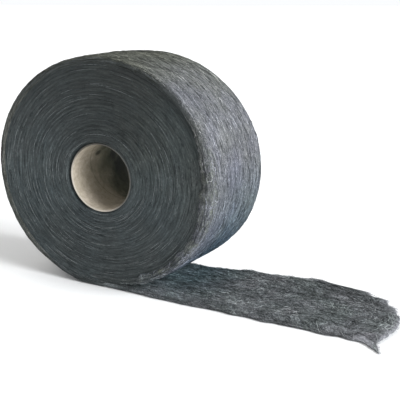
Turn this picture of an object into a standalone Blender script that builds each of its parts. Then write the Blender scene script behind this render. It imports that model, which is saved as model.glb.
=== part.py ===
# A roll of steel wool: one long ribbon of steel wool wound on a cardboard tube,
# lying on its side with its loose end laid out along the surface that it rests on.
# Metres, +Z up. The tube runs along Y. The origin is the middle of the small flat
# spot that the soft roll rests on, straight below the tube. +X runs along the loose end.
import math

import bmesh
import bpy

# ---- driving dimensions ----
RIBBON_W = 0.100        # width of the ribbon, and so of the roll
HALF_SPAN = 0.128       # half the roll's width along X at the outermost turn, sagged
TOP_RISE = 0.114        # from the roll's middle to its top
LOW_DROP = 0.1158       # from the roll's middle to its bottom, before the flat spot cuts it
MID_Z = 0.114           # height of the roll's middle
TURN_T = 0.0060         # thickness of one turn of ribbon
RIM_ROUND = 0.0030      # rounding of the roll's outer rims
SECTION_POINTS = 104

TUBE_Z = 0.1105         # the tube sits a little low in the sagged roll
TUBE_IN_X = 0.0338      # half the tube's inside width, slightly pressed out of round
TUBE_IN_Z = 0.0318      # half the tube's inside height
TUBE_WALL = 0.0020
TUBE_LENGTH = 0.0980    # its ends lie 1 mm inside the roll's ends
TUBE_FIT = 0.0003       # gap between tube and wool

TAIL_LIFT = 0.0003      # the loose end lies this far above the flat spot
TAIL_T_ROOT = 0.0063    # thickness of the loose end where it leaves the roll
TAIL_T_TIP = 0.0048     # and at its tip
TAIL_ROUND = 0.0016     # rounding along its edges
TAIL_TIP_X = 0.285

# Outline of the loose end seen from above: near edge out to the torn tip, then
# back along the far edge. The wool spreads where it's no longer held by the roll.
TAIL_NEAR = [
    (-0.004, -0.0492), (0.050, -0.0494), (0.090, -0.0502), (0.130, -0.0512),
    (0.165, -0.0506), (0.200, -0.0514), (0.232, -0.0530), (0.254, -0.0556),
    (0.270, -0.0602), (TAIL_TIP_X, -0.0665),
]
TAIL_END = [
    (0.2768, -0.0545), (0.2812, -0.0470), (0.2806, -0.0385), (0.2842, -0.0290),
    (0.2828, -0.0200), (0.2838, -0.0100), (0.2800, 0.0010), (0.2780, 0.0110),
    (0.2716, 0.0210), (0.2668, 0.0300), (0.2590, 0.0370), (0.2520, 0.0445),
    (0.2400, 0.0490), (0.2330, 0.0555), (0.2190, 0.0585), (0.2090, 0.0640),
    (0.1960, 0.0655), (0.1860, 0.0700),
]
TAIL_FAR = [
    (0.170, 0.0705), (0.150, 0.0672), (0.130, 0.0630), (0.108, 0.0585),
    (0.085, 0.0545), (0.060, 0.0512), (0.035, 0.0496), (-0.004, 0.0492),
]


def clear_scene():
    for obj in list(bpy.data.objects):
        bpy.data.objects.remove(obj, do_unlink=True)


def material(name, colour, roughness, metallic):
    made = bpy.data.materials.new(name)
    made.use_nodes = True
    shader = made.node_tree.nodes["Principled BSDF"]
    shader.inputs["Base Color"].default_value = (*colour, 1.0)
    shader.inputs["Roughness"].default_value = roughness
    shader.inputs["Metallic"].default_value = metallic
    made.diffuse_color = (*colour, 1.0)
    return made


def collection(name):
    made = bpy.data.collections.new(name)
    bpy.context.scene.collection.children.link(made)
    return made


def turn_outline():
    """The roll's section in X and Z. It starts at the bottom, climbs the left side and comes
    down the right, one ribbon thinner after the whole turn, where the loose end lies under it."""
    points = []
    for i in range(SECTION_POINTS + 1):
        turn = 2 * math.pi * i / SECTION_POINTS
        shrink = 1 - TURN_T / LOW_DROP * i / SECTION_POINTS
        up = -math.cos(turn)
        x = -HALF_SPAN * math.sin(turn) * shrink
        z = MID_Z + (TOP_RISE if up > 0 else LOW_DROP) * up * shrink
        floor = TURN_T if turn > math.pi else 0.0
        points.append((x, max(z, floor)))
    first_clear = next(i for i, p in enumerate(points) if p[1] > 1e-6)
    last_clear = max(i for i, p in enumerate(points) if p[1] > TURN_T + 1e-6)
    outline = points[first_clear - 1:last_clear + 2]
    outline.append((outline[-1][0] - 0.006, 0.0))
    return outline


def flat_curve(name, outline, half_depth, rounding):
    """A closed outline filled and extruded, its rims rounded inside the outline."""
    data = bpy.data.curves.new(name, "CURVE")
    data.dimensions = "2D"
    data.fill_mode = "BOTH"
    data.extrude = half_depth - rounding
    data.bevel_depth = rounding
    data.bevel_resolution = 1
    data.offset = -rounding
    spline = data.splines.new("POLY")
    spline.points.add(len(outline) - 1)
    for point, (a, b) in zip(spline.points, outline):
        point.co = (a, b, 0, 1)
    spline.use_cyclic_u = True
    return bpy.data.objects.new(name, data)


def as_mesh(obj, target):
    """The curve made a mesh, with its caps welded to its sides."""
    target.objects.link(obj)
    bpy.context.view_layer.update()
    graph = bpy.context.evaluated_depsgraph_get()
    mesh = bpy.data.meshes.new_from_object(obj.evaluated_get(graph))
    name, place = obj.name, obj.matrix_world.copy()
    bpy.data.objects.remove(obj, do_unlink=True)
    bm = bmesh.new()
    bm.from_mesh(mesh)
    bmesh.ops.remove_doubles(bm, verts=bm.verts, dist=0.00002)
    bmesh.ops.recalc_face_normals(bm, faces=bm.faces)
    bm.to_mesh(mesh)
    bm.free()
    made = bpy.data.objects.new(name, mesh)
    made.matrix_world = place
    target.objects.link(made)
    return made


def helper(obj):
    obj.hide_render = True
    obj.display_type = "WIRE"
    return obj


def apply_scale(obj):
    bpy.context.view_layer.objects.active = obj
    for other in bpy.context.selected_objects:
        other.select_set(False)
    obj.select_set(True)
    bpy.ops.object.transform_apply(location=False, rotation=False, scale=True)


def move_to(obj, target):
    for old in list(obj.users_collection):
        old.objects.unlink(obj)
    target.objects.link(obj)


def oval_cylinder(name, half_x, half_z, length, ends, target):
    """An oval cylinder along Y through the tube's middle."""
    bpy.ops.mesh.primitive_cylinder_add(
        vertices=64, radius=1.0, depth=length, end_fill_type=ends)
    obj = bpy.context.object
    obj.name = name
    obj.data.name = name
    obj.scale = (half_x, half_z, 1.0)
    apply_scale(obj)
    obj.rotation_euler = (math.radians(90), 0, 0)
    obj.location = (0, 0, TUBE_Z)
    move_to(obj, target)
    return obj


def smooth(obj, angle=35):
    obj.data.shade_smooth()
    obj.data.set_sharp_from_angle(angle=math.radians(angle))


def build():
    clear_scene()
    parts = collection("steel_wool_roll")
    cutters = collection("cutters")
    wool_finish = material("steel_wool", (0.13, 0.14, 0.145), 0.62, 0.45)
    card_finish = material("grey_board", (0.40, 0.35, 0.28), 0.90, 0.0)

    # The wound ribbon
    wool = flat_curve("steel_wool_ribbon", turn_outline(), RIBBON_W / 2, RIM_ROUND)
    wool.rotation_euler = (math.radians(90), 0, 0)
    wool = as_mesh(wool, parts)

    # Its loose end, thinner towards the tip
    tail = flat_curve("loose_end", TAIL_NEAR + TAIL_END + TAIL_FAR,
                      TAIL_T_ROOT / 2, TAIL_ROUND)
    tail.location = (0, 0, TAIL_LIFT + TAIL_T_ROOT / 2)
    tail = as_mesh(tail, cutters)
    thin = (TAIL_T_ROOT - TAIL_T_TIP) / TAIL_TIP_X
    for vertex in tail.data.vertices:
        share = (vertex.co.z + TAIL_T_ROOT / 2) / TAIL_T_ROOT
        vertex.co.z -= share * thin * max(vertex.co.x, 0.0)
    helper(tail)

    joined = wool.modifiers.new("loose_end", "BOOLEAN")
    joined.operation = "UNION"
    joined.object = tail

    # Its bore, which the tube fills
    bore = oval_cylinder("tube_clearance", TUBE_IN_X + TUBE_WALL + TUBE_FIT,
                         TUBE_IN_Z + TUBE_WALL + TUBE_FIT, RIBBON_W * 1.5, "NGON", cutters)
    helper(bore)
    bored = wool.modifiers.new("bore", "BOOLEAN")
    bored.operation = "DIFFERENCE"
    bored.object = bore
    wool.data.materials.clear()
    wool.data.materials.append(wool_finish)
    smooth(wool)

    # The cardboard tube: one wall, thickened inwards
    tube = oval_cylinder("cardboard_tube", TUBE_IN_X + TUBE_WALL,
                         TUBE_IN_Z + TUBE_WALL, TUBE_LENGTH, "NOTHING", parts)
    wall = tube.modifiers.new("wall", "SOLIDIFY")
    wall.thickness = TUBE_WALL
    wall.offset = -1.0
    wall.use_even_offset = True
    tube.data.materials.append(card_finish)
    smooth(tube)


build()
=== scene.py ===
import math

import bpy
import numpy as np
from mathutils import Matrix, Vector


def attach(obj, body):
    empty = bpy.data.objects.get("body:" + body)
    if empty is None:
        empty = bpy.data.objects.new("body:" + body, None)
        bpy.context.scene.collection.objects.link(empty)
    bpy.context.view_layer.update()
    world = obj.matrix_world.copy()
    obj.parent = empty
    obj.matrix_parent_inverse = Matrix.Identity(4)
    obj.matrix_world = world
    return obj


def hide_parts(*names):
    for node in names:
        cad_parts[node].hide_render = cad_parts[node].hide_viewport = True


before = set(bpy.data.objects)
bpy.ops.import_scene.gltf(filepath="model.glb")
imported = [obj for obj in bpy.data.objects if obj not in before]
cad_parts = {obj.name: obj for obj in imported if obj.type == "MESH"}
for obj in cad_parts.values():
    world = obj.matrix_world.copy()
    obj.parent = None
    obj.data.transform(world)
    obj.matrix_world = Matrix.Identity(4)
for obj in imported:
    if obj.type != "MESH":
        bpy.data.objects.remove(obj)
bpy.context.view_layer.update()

PI2 = 2 * math.pi

# ------------------------------------------------------------------ sizes, as in the solid model
TURN_T = 0.0060          # thickness of the ribbon
HALF_SPAN = 0.128        # half the roll's width
TOP_RISE = 0.114         # roll above its middle
LOW_DROP = 0.1158        # roll below its middle
MID_Z = 0.114
FACE_Y = 0.0500          # half the ribbon's width
TUBE_Z = 0.1105
TUBE_IN_X, TUBE_IN_Z = 0.0338, 0.0318
TUBE_WALL = 0.0020
TUBE_HALF = 0.0490
TAIL_LENGTH = 0.285
TAIL_NEAR = [(0.000, -0.0498), (0.050, -0.0496), (0.090, -0.0502), (0.130, -0.0512), (0.165, -0.0506),
             (0.200, -0.0504), (0.232, -0.0500), (0.254, -0.0500), (0.271, -0.0520), (0.285, -0.0608)]
TAIL_END = [(0.2850, -0.0608), (0.2826, -0.0556), (0.2764, -0.0486), (0.2790, -0.0420), (0.2832, -0.0300),
            (0.2828, -0.0200), (0.2838, -0.0100), (0.2800, 0.0010), (0.2780, 0.0110), (0.2716, 0.0210),
            (0.2668, 0.0300), (0.2590, 0.0370), (0.2520, 0.0445), (0.2400, 0.0490), (0.2330, 0.0555),
            (0.2190, 0.0575), (0.2070, 0.0590), (0.1945, 0.0600), (0.1895, 0.0672), (0.1780, 0.0705)]
TAIL_FAR = [(0.000, 0.0498), (0.035, 0.0500), (0.060, 0.0512), (0.085, 0.0545), (0.108, 0.0585),
            (0.130, 0.0630), (0.150, 0.0672), (0.178, 0.0705)]


# ------------------------------------------------------------------ noise and helpers
_table = np.random.default_rng(7).random(65536) * 2 - 1


def noise(x, y=0.0, z=0.0, seed=0):
    """Smooth value noise from -1 to 1 on numpy arrays."""
    x, y, z = np.broadcast_arrays(np.asarray(x, float), np.asarray(y, float), np.asarray(z, float))
    xi, yi, zi = np.floor(x).astype(np.int64), np.floor(y).astype(np.int64), np.floor(z).astype(np.int64)
    fx, fy, fz = x - xi, y - yi, z - zi
    fx, fy, fz = (f * f * (3 - 2 * f) for f in (fx, fy, fz))

    def at(a, b, c):
        h = (a * 73856093) ^ (b * 19349663) ^ (c * 83492791) ^ (seed * 2654435)
        h = (h ^ (h >> 13)) * 1274126177
        return _table[(h ^ (h >> 16)) & 65535]

    def across(c):
        low = at(xi, yi, c) * (1 - fx) + at(xi + 1, yi, c) * fx
        high = at(xi, yi + 1, c) * (1 - fx) + at(xi + 1, yi + 1, c) * fx
        return low * (1 - fy) + high * fy

    return across(zi) * (1 - fz) + across(zi + 1) * fz


def step(lo, hi, x):
    t = np.clip((np.asarray(x, float) - lo) / (hi - lo), 0, 1)
    return t * t * (3 - 2 * t)


def window(a, b, c, d, x):
    """0 before a, 1 from b to c, 0 after d."""
    return step(a, b, x) * (1 - step(c, d, x))


def unit(v):
    return v / np.maximum(np.linalg.norm(v, axis=-1, keepdims=True), 1e-12)


def make_mesh(name, verts, faces4, faces3=None, uv=None, last=None, tone=None):
    """A mesh object from numpy arrays. uv has one row for each vertex. last is for a closed loop of
    faces: its length in faces, and the second uv number where it closes."""
    verts = np.asarray(verts, np.float32).reshape(-1, 3)
    faces4 = np.asarray(faces4, np.int32).reshape(-1, 4)
    faces3 = np.zeros((0, 3), np.int32) if faces3 is None else np.asarray(faces3, np.int32).reshape(-1, 3)
    me = bpy.data.meshes.new(name)
    me.vertices.add(len(verts))
    me.vertices.foreach_set("co", verts.ravel())
    loops = np.concatenate([faces4.ravel(), faces3.ravel()])
    me.loops.add(len(loops))
    me.loops.foreach_set("vertex_index", loops)
    starts = np.concatenate([np.arange(len(faces4)) * 4, len(faces4) * 4 + np.arange(len(faces3)) * 3])
    me.polygons.add(len(starts))
    me.polygons.foreach_set("loop_start", starts.astype(np.int32))
    me.polygons.foreach_set("use_smooth", np.ones(len(starts), bool))
    if uv is not None:
        corners = np.asarray(uv, np.float32).reshape(-1, 2)[loops]
        if last:
            quads = corners.reshape(-1, last[0], 4, 2)
            quads[:, -1, 1:3, 1] = last[1]
            corners = quads
        layer = me.uv_layers.new(name="fibre")
        layer.data.foreach_set("uv", corners.ravel())
    if tone is not None:
        layer = me.uv_layers.new(name="tone")
        layer.data.foreach_set("uv", np.asarray(tone, np.float32).reshape(-1, 2)[loops].ravel())
    me.update(calc_edges=True)
    me.validate()
    ob = bpy.data.objects.new(name, me)
    bpy.context.scene.collection.objects.link(ob)
    return ob


def merge(ob, dist=1e-6):
    import bmesh
    bm = bmesh.new()
    bm.from_mesh(ob.data)
    bmesh.ops.remove_doubles(bm, verts=bm.verts, dist=dist)
    bmesh.ops.dissolve_degenerate(bm, edges=bm.edges, dist=1e-7)
    bm.to_mesh(ob.data)
    bm.free()


def wool(ob, material):
    ob.data.materials.append(material)
    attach(ob, "root")
    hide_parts("steel_wool_ribbon")
    return ob


# ------------------------------------------------------------------ the ribbon's outer turn and loose end
def resampled(points, count=400, soft=4.0):
    """x and y of a polyline at even steps, lightly rounded, with its ends kept."""
    p = np.array(points)
    run = np.concatenate([[0], np.cumsum(np.linalg.norm(np.diff(p, axis=0), axis=1))])
    t = np.linspace(0, run[-1], count)
    q = np.stack([np.interp(t, run, p[:, k]) for k in (0, 1)], 1)
    kernel = np.exp(-0.5 * (np.arange(-12, 13) / soft) ** 2)
    kernel /= kernel.sum()
    wide = np.concatenate([2 * q[0] - q[12:0:-1], q, 2 * q[-1] - q[-2:-14:-1]])
    return np.stack([np.convolve(wide[:, k], kernel, "valid") for k in (0, 1)], 1)


_near, _far = resampled(TAIL_NEAR), resampled(TAIL_FAR)
_end = resampled(TAIL_END, 700, 5.0)
END_LOW, END_HIGH = -0.0608, 0.0705


def lobe_phase(y):
    return y / 0.0125 + 0.45 * noise(y / 0.024, 5.1, seed=43)


def end_curve(v):
    y = END_LOW + (END_HIGH - END_LOW) * v
    order = np.argsort(_end[:, 1])
    x = np.interp(y, _end[order, 1], _end[order, 0])
    fade = window(0.0, 0.06, 0.96, 1.0, v)
    lobe = np.abs(np.sin(math.pi * lobe_phase(y)))
    size = (0.0040 + 0.0016 * noise(y / 0.013, 8.8, seed=44)) * (1 + 0.7 * step(0.0, 0.035, y))
    x = x + fade * (size * (lobe - 0.75) + 0.0014 * noise(y / 0.0075, 3.3, seed=41) + 0.0008 * noise(y / 0.0030, 1.7, seed=42))
    return x, y


def tail_xy(u, v):
    """Where the loose end's grid lies, u from the root to the end, v from the near edge to the far one."""
    nx = TAIL_LENGTH * u
    ny = np.interp(nx, _near[:, 0], _near[:, 1])
    fx = 0.178 * u
    fy = np.interp(fx, _far[:, 0], _far[:, 1])
    ex, ey = end_curve(v)
    rx, ry = 0.0, -0.0498 + 0.0996 * v
    x = (1 - v) * nx + v * fx + (1 - u) * rx + u * ex - (u * (1 - v) * TAIL_LENGTH + u * v * 0.178)
    y = ((1 - v) * ny + v * fy + (1 - u) * ry + u * ey
         - ((1 - u) * (1 - v) * -0.0498 + (1 - u) * v * 0.0498 + u * (1 - v) * END_LOW + u * v * END_HIGH))
    return x, y


def wound_line():
    """The ribbon's middle line round the roll: angle, x, z, normal and distance."""
    turn = np.linspace(0, PI2 + 0.30, 1600)
    shrink = 1 - TURN_T / LOW_DROP * turn / PI2
    up = -np.cos(turn)
    x = -HALF_SPAN * np.sin(turn) * shrink
    z = MID_Z + np.where(up > 0, TOP_RISE, LOW_DROP) * up * shrink
    t = unit(np.stack([np.gradient(x), np.gradient(z)], 1))
    nx, nz = -t[:, 1], t[:, 0]
    x, z = x - nx * TURN_T / 2, z - nz * TURN_T / 2
    right = turn > math.pi
    floor, soft = np.where(right, 0.0083, 0.0033), np.where(right, 0.0022, 0.0009)
    z = floor + soft * np.logaddexp(0, (z - floor) / soft)
    z = z - 0.0009 * math.log(2) * np.exp(-((turn / 0.25) ** 2))
    t = unit(np.stack([np.gradient(x), np.gradient(z)], 1))
    run = np.concatenate([[0], np.cumsum(np.hypot(np.diff(x), np.diff(z)))])
    return turn, x, z, -t[:, 1], t[:, 0], run


W_TURN, W_X, W_Z, W_NX, W_NZ, W_RUN = wound_line()
RUN_END = TAIL_LENGTH + W_RUN[-1]
# the two bands in which the ribbon's edges are loose and puffed: near edge low on the right, far edge high on the left


def lip_near(turn):
    return window(1.26 * math.pi, 1.50 * math.pi, 1.80 * math.pi, 1.96 * math.pi, turn)


def lip_far(turn):
    return window(0.35 * math.pi, 0.50 * math.pi, 0.72 * math.pi, 0.85 * math.pi, turn)


def ribbon(s, l, side):
    """A point on the ribbon's surface. s is the distance from the loose tip, l runs from -1 at the
    near edge to 1 at the far one, and side is 1 on the roll's outside and under the loose end."""
    s, l, side = np.broadcast_arrays(np.asarray(s, float), np.asarray(l, float), np.asarray(side, float))
    tail = s < TAIL_LENGTH
    run = np.maximum(s - TAIL_LENGTH, 0)
    turn = np.where(tail, 0.0, np.interp(run, W_RUN, W_TURN))
    v = (l + 1) / 2
    u = np.clip(1 - s / TAIL_LENGTH, 0, 1)

    # middle surface
    x, y = tail_xy(u, v)
    flare = np.where(tail, 0, 1) * step(0.0, 0.25, turn)
    wob = noise(s / 0.016, 0.5, seed=11) * 0.5 + noise(s / 0.0055, 2.5, seed=12) * 0.28
    wob_far = noise(s / 0.018, 0.5, seed=13) * 0.5 + noise(s / 0.006, 2.5, seed=14) * 0.28
    lump = 0.50 + 0.62 * noise(s / 0.0150, 7.7, seed=15) + 0.34 * noise(s / 0.0062, 1.1, seed=16)
    lump_far = 0.5 + 0.5 * noise(s / 0.014, 7.7, seed=17) + 0.22 * noise(s / 0.006, 1.1, seed=18)
    ln, lf = lip_near(turn), lip_far(turn)
    left = window(0.16 * math.pi, 0.30 * math.pi, 0.72 * math.pi, 0.95 * math.pi, turn)
    out_near = (0.0003 + 0.0005 * wob + 0.0010 * left + ln * (0.0013 + 0.0040 * lump)) * flare
    out_far = (0.0004 + 0.0006 * wob_far + lf * (0.0004 + 0.0026 * lump_far)) * flare
    hide = step(PI2 + 0.02, PI2 + 0.26, turn)
    wound_y = l * (0.0499 - 0.0022 * hide)
    wound_y = wound_y - (1 - hide) * (out_near * step(0.80, 1.0, -l) - out_far * step(0.80, 1.0, l))
    torn = 1 + 1.3 * step(0.55, 0.85, u)
    y_tail = y - step(0.0, 0.25, u) * torn * (
        (0.0046 * wob) * step(0.8, 1.0, -l) - (0.0026 * wob_far) * step(0.8, 1.0, l))
    y = np.where(tail, y_tail, wound_y)
    x = np.where(tail, x, np.interp(run, W_RUN, W_X))
    nx = np.where(tail, 0.0, np.interp(run, W_RUN, W_NX))
    nz = np.where(tail, -1.0, np.interp(run, W_RUN, W_NZ))

    # thickness of the loose end
    w = l * 0.05
    bent = w + 0.0016 * noise(s / 0.020, w / 0.015, 9.1, seed=27)
    clump = (0.00110 * noise(s / 0.030, bent / 0.0085, 0.3, seed=21) + 0.00085 * noise(s / 0.013, bent / 0.0040, 1.3, seed=22)
             + 0.00055 * noise(s / 0.016, bent / 0.0019, 2.3, seed=23))
    fray = step(0.70, 0.97, u)
    tuft = 0.0011 * noise(s / 0.011, w / 0.0085, 4.3, seed=24) + 0.0006 * noise(s / 0.006, w / 0.0040, 5.3, seed=25)
    hump = 0.0032 * np.exp(-(((s - 0.118) / 0.016) ** 2) - (((l - 0.93) / 0.13) ** 2))
    hump = hump + 0.0032 * np.exp(-(((s - 0.010) / 0.013) ** 2) - (((l - 0.91) / 0.11) ** 2))
    # raised tufts along the torn end and along the far edge
    y_end = END_LOW + (END_HIGH - END_LOW) * v
    hump = hump + 0.0030 * (np.abs(np.sin(math.pi * lobe_phase(y_end))) - 0.45) * step(0.020, 0.004, s) * step(-0.8, -0.5, l)
    hump = hump + 0.0011 * (np.abs(np.sin(math.pi * (s / 0.0135 + 0.4 * noise(s / 0.03, 2.2, seed=28)))) - 0.5) * (
        step(0.75, 0.95, l) * step(0.0, 0.3, u))
    wisp = step(0.88, 0.96, u) * step(0.70, 0.81, -l)
    thick = (0.0063 - 0.0015 * u - 0.0016 * fray + clump * step(-0.02, 0.22, u) * (1 + 0.2 * fray) + tuft * fray + hump)
    d = (1 - np.abs(l)) * 0.05
    thick = thick * (1 - step(0.0, 0.25, u) * (0.62 - 0.62 * step(0.0, 0.0110, d)))
    thick = np.maximum(thick * (1 - 0.76 * wisp), 0.0006)
    lift = 0.0003 + 0.0009 * step(0.3, 0.9, u) * (0.5 + 0.5 * noise(s / 0.03, w / 0.02, 6.3, seed=26)) * (1 - wisp)
    z_tail = lift + thick / 2

    # thickness round the roll
    fine = 0.00028 * noise(s / 0.050, w / 0.0016, 0.7, seed=31)
    mid = 0.00042 * noise(s / 0.042, w / 0.0055, 1.7, seed=32)
    wide = 0.00060 * noise(s / 0.085, w / 0.0210, 2.7, seed=33)
    leave = step(0.30, 0.62, turn) * (1 - step(PI2 - 0.55, PI2 - 0.25, turn))
    bead_n = np.exp(-(((l + 0.950) / 0.064) ** 2)) * ln
    bead_f = np.exp(-(((l - 0.955) / 0.060) ** 2)) * lf
    crown = 0.0020 * (1 - l * l) * step(0.20, 0.95, turn) * (1 - step(PI2 - 1.25, PI2 - 0.20, turn))
    skin = (fine + mid + wide) * leave + crown
    curl = 0.0017 * noise(s / 0.0040, w / 0.0036, 8.3, seed=34) * bead_n
    droop_n = bead_n * (0.0014 + 0.0038 * lump) + curl
    puff_n = bead_n * (0.0004 + 0.0016 * lump) + 0.6 * curl
    puff_f = bead_f * (0.0002 + 0.0009 * lump_far)
    half_out = np.where(tail, thick / 2, TURN_T / 2 + skin + puff_n + puff_f)
    half_in = np.where(tail, thick / 2, TURN_T / 2 + droop_n + bead_f * 0.0018 * lump_far)

    # rounded edges
    e = np.where(tail, 0.0030, 0.0028 + 0.0030 * np.where(l < 0, ln, lf))
    edge = np.sqrt(np.clip(1 - (1 - np.minimum(d / e, 1)) ** 2, 0, 1))
    tip = np.sqrt(np.clip(1 - (1 - np.minimum(s / 0.0030, 1)) ** 2, 0, 1))
    inner_end = np.sqrt(np.clip(1 - (1 - np.minimum((RUN_END - s) / 0.0030, 1)) ** 2, 0, 1))
    shape = edge * tip * inner_end
    b = np.where(side > 0, half_out, -half_in) * shape

    z = np.where(tail, z_tail, np.interp(run, W_RUN, W_Z)) + nz * b
    x = x + nx * b
    n = np.stack([nx, np.zeros_like(nx), nz], -1) * side[..., None]
    return np.stack([x, y, np.maximum(z, 0.0002)], -1), n


def ribbon_normal(s, l, side):
    """A point on the ribbon and the true direction of its surface there."""
    s, l, side = np.broadcast_arrays(np.asarray(s, float), np.asarray(l, float), np.asarray(side, float))
    p, _ = ribbon(s, l, side)
    ds, dl = 0.0008, 0.0015
    along = ribbon(np.minimum(s + ds, RUN_END), l, side)[0] - ribbon(np.maximum(s - ds, 0), l, side)[0]
    across = ribbon(s, np.minimum(l + dl, 1), side)[0] - ribbon(s, np.maximum(l - dl, -1), side)[0]
    return p, unit(np.cross(along, across)) * side[..., None]


def build_ribbon(material):
    k = np.arange(6)
    edge = 0.058 * (1 - np.cos(k * math.pi / 12))
    l = np.concatenate([-1 + edge, np.linspace(-0.942, 0.942, 80), (1 - edge)[::-1]])
    tip = 0.0030 * (1 - np.cos(np.arange(6) * math.pi / 12))
    # the rows lie closer together along the puffed lip of the near edge
    even = np.linspace(0.0012, W_RUN[-1] - 0.0032, 4000)
    weight = np.cumsum(1 + 1.5 * lip_near(np.interp(even, W_RUN, W_TURN)))
    rows_at = np.interp(np.linspace(weight[0], weight[-1], 282), weight, even)
    s = np.concatenate([tip, np.linspace(0.0032, TAIL_LENGTH - 0.0012, 122), TAIL_LENGTH + rows_at, RUN_END - tip[::-1]])
    top, _ = ribbon(s[:, None], l[None, :], 1.0)
    low, _ = ribbon(s[:, None], l[None, 1:-1][:, ::-1], -1.0)
    grid = np.concatenate([top, low], 1)
    rows, cols = grid.shape[:2]
    i, j = np.meshgrid(np.arange(rows - 1), np.arange(cols), indexing="ij")
    j2 = (j + 1) % cols
    faces = np.stack([i * cols + j, i * cols + j2, (i + 1) * cols + j2, (i + 1) * cols + j], -1)
    # across the ribbon, the fibre map runs on round its edges
    mid = grid[200]
    lat = np.concatenate([[0], np.cumsum(np.linalg.norm(np.diff(np.vstack([mid, mid[:1]]), axis=0), axis=1))])
    uv = np.stack(np.broadcast_arrays(s[:, None], lat[None, :-1]), -1)
    # tone: how much a point belongs to the ribbon's cut edge, which takes the end faces' darker colour with its painted
    # shade, and how much to its puffed lip or pale torn end, whose paleness is partly painted light
    ll = np.concatenate([l, l[1:-1][::-1]])[None, :]
    run_turn = np.interp(s - TAIL_LENGTH, W_RUN, W_TURN)[:, None]
    on_roll = (s > TAIL_LENGTH)[:, None] * 1.0
    lip = np.where(ll < 0, lip_near(run_turn), 0.8 * lip_far(run_turn)) * on_roll
    left = window(0.10 * math.pi, 0.25 * math.pi, 0.62 * math.pi, 0.80 * math.pi, run_turn) * on_roll
    rim = (1 - step(0.0004, 0.0019, (1 - np.abs(ll)) * 0.05)) * (1 - lip) * (1 - 0.72 * left) * on_roll
    lumps = 0.92 + 0.75 * noise(s[:, None] / 0.0042, ll * 0.05 / 0.0030, 2.2, seed=36)
    pale = step(0.70, 0.93, np.abs(ll)) * lip * np.clip(lumps, 0.25, 1.35)
    u = 1 - s[:, None] / TAIL_LENGTH
    # the torn end is paler toward its thin near corner and along its fringe: partly its thinner fibres' own tone,
    # partly painted light
    pale = np.maximum(pale, (1 - on_roll) * step(0.85, 0.98, u) * (0.20 + 1.15 * step(0.55, 0.86, -ll)))
    fringe = np.maximum(0.8 * step(0.010, 0.002, s)[:, None] * np.ones_like(ll), 0.80 * step(0.78, 0.94, ll) * step(0.12, 0.4, u))
    pale = np.maximum(pale, (1 - on_roll) * fringe)
    tone = np.stack(np.broadcast_arrays(rim, pale), -1)
    ob = make_mesh("outer_turn_and_loose_end", grid, faces, uv=uv, last=(cols, lat[-1]), tone=tone)
    merge(ob)
    return wool(ob, material)


# ------------------------------------------------------------------ the turns inside, seen on both end faces
LAYERS = 22
BORE_X, BORE_Z = TUBE_IN_X + TUBE_WALL + 0.0004, TUBE_IN_Z + TUBE_WALL + 0.0004


def face_xz(f, turn):
    """Where a point of the end face lies: f is 0 at the tube and 1 at the outermost of these turns."""
    gap = 0.0013 * window(0.05 * math.pi, 0.25 * math.pi, 0.60 * math.pi, 0.80 * math.pi, turn)
    ix, iz = -(BORE_X + gap) * np.sin(turn), TUBE_Z - (BORE_Z + gap) * np.cos(turn)
    inset = 0.0042
    up = -np.cos(turn)
    ox = -(HALF_SPAN - inset) * np.sin(turn)
    oz = MID_Z + np.where(up > 0, TOP_RISE - inset, LOW_DROP - inset) * up
    return ix + (ox - ix) * f, np.maximum(iz + (oz - iz) * f, 0.0024)


def face_depth(f, turn, seed):
    """How far the end face lies inside the ribbon's full width, from the edges of its turns."""
    phase = f * LAYERS + turn / PI2
    m = np.floor(phase)
    p = phase - m
    along = m - turn / PI2
    c, s = np.cos(turn), np.sin(turn)
    groove = (0.5 + 0.5 * np.cos(PI2 * p)) ** 2
    h = 0.00062 * groove * (0.70 + 0.9 * noise(along * 7.0, 0.5, seed=seed))
    h = h - 0.00035 * noise(along * 2.3, 1.5, seed=seed + 1) - 0.00022 * noise(along * 8.0, 2.5, seed=seed + 2)
    h = h - 0.00055 * noise(f * 3.0 + 5, c * 1.3, s * 1.3, seed=seed + 3)
    h = h - 0.00016 * noise(f * 62.0, c * 7.0, s * 7.0, seed=seed + 4)
    loose = 0.13 + 0.87 * window(0.05 * math.pi, 0.30 * math.pi, 0.70 * math.pi, 1.00 * math.pi, turn)
    h = h + 0.0045 * loose * np.exp(-((f * 0.080 / 0.0014) ** 2)) + 0.0012 * step(0.985, 1.0, f)
    return 0.0004 + h + 0.0002


def face_point(f, turn, side, lift=0.0):
    x, z = face_xz(f, turn)
    y = side * (FACE_Y - face_depth(f, turn, 60 if side < 0 else 80) + lift)
    return np.stack([x, y, z], -1)


def build_turns(material):
    around, radial = 288, 130
    turn = np.arange(around) * PI2 / around
    full = 1 - turn / PI2 / LAYERS
    g = np.concatenate([[0, 0.004, 0.009, 0.016], np.linspace(0.025, 0.985, radial), [0.993, 1.0]])
    f = g[None, :] * full[:, None]
    t = turn[:, None] * np.ones_like(f)
    near, far = face_point(f, t, -1.0), face_point(f, t, 1.0)
    rows = [near]
    for q in (0.2, 0.4, 0.6, 0.8):
        rows.append((near[:, -1:] * (1 - q) + far[:, -1:] * q))
    rows.append(far[:, ::-1])
    for q in (0.25, 0.5, 0.75):
        rows.append((far[:, :1] * (1 - q) + near[:, :1] * q))
    grid = np.concatenate(rows, 1)
    n, m = grid.shape[:2]
    i, j = np.meshgrid(np.arange(n), np.arange(m), indexing="ij")
    i2, j2 = (i + 1) % n, (j + 1) % m
    faces = np.stack([i * m + j, i2 * m + j, i2 * m + j2, i * m + j2], -1)
    return wool(make_mesh("wound_turns", grid, faces), material)


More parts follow.
